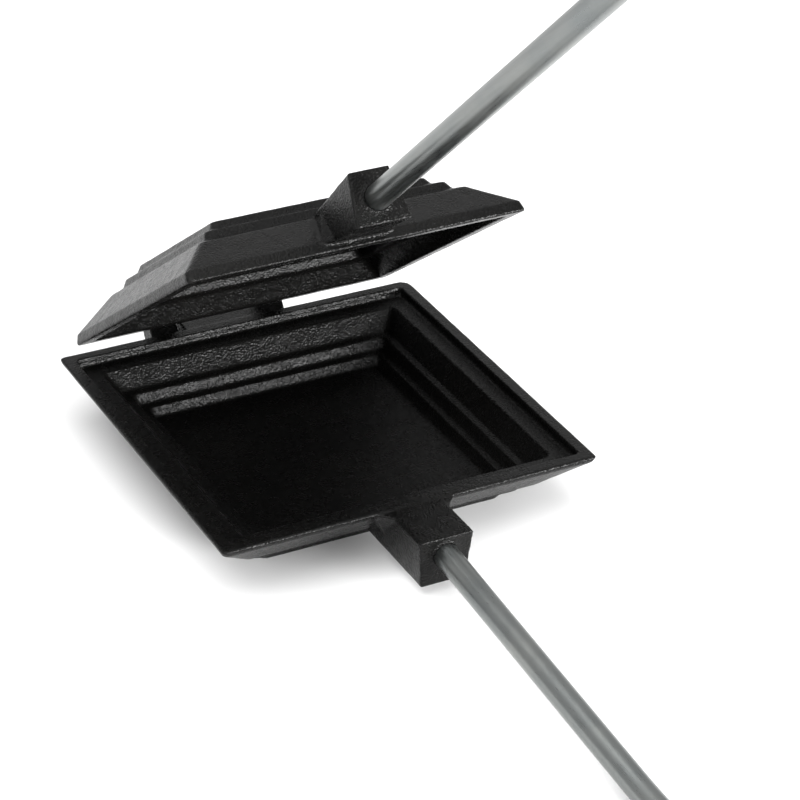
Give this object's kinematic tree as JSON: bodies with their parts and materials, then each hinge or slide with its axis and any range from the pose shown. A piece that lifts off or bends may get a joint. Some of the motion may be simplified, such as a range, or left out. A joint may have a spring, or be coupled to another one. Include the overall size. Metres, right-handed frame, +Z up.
{
  "type": "pie iron",
  "caption": "Square hinged cooking iron: two stepped cast pans that close on each other, each on a long round rod with a turned wooden grip, held shut by a swinging hook.",
  "frame": {"origin": "centre of the lower pan's flat underside, which stands on z = 0", "axes": "+Z up, +Y from the handles towards the hinge, +X along the hinge, to the right when looking from the handles to the hinge"},
  "size_m": [0.1094, 0.7123, 0.466],
  "materials": {
    "seasoned_iron": "black, seasoned, sand-cast skin with a satin gloss",
    "plated_rod": "zinc plated bar, soft grey metallic reflections",
    "steel": "plain bright steel",
    "grip_wood": "turned hardwood, thin clear varnish"
  },
  "bodies": {
    "lower_half": {"lower_pan": "seasoned_iron", "hinge_pin": "steel", "lower_rod": "plated_rod", "lower_grip": "grip_wood", "lower_ferrule": "steel", "lower_grip_pin": "steel", "catch_screw": "steel"},
    "upper_half": {"upper_pan": "seasoned_iron", "upper_rod": "plated_rod", "upper_grip": "grip_wood", "upper_ferrule": "steel", "upper_grip_pin": "steel", "latch_screw": "steel", "latch_washer": "steel"},
    "latch": {"latch_hook": "steel"}
  },
  "joints": [
    {"name": "lid_hinge", "type": "hinge", "parent": "lower_half", "child": "upper_half", "pos_m": [-0.0035, 0.0578, 0.008], "axis": [-1, 0, 0], "range_deg": [-36.7, 83.3]},
    {"name": "latch_pivot", "type": "hinge", "parent": "upper_half", "child": "latch", "pos_m": [0.0145, -0.433, 0.42011], "axis": [1, 0, 0], "range_deg": [-36.7, 40]}
  ]
}
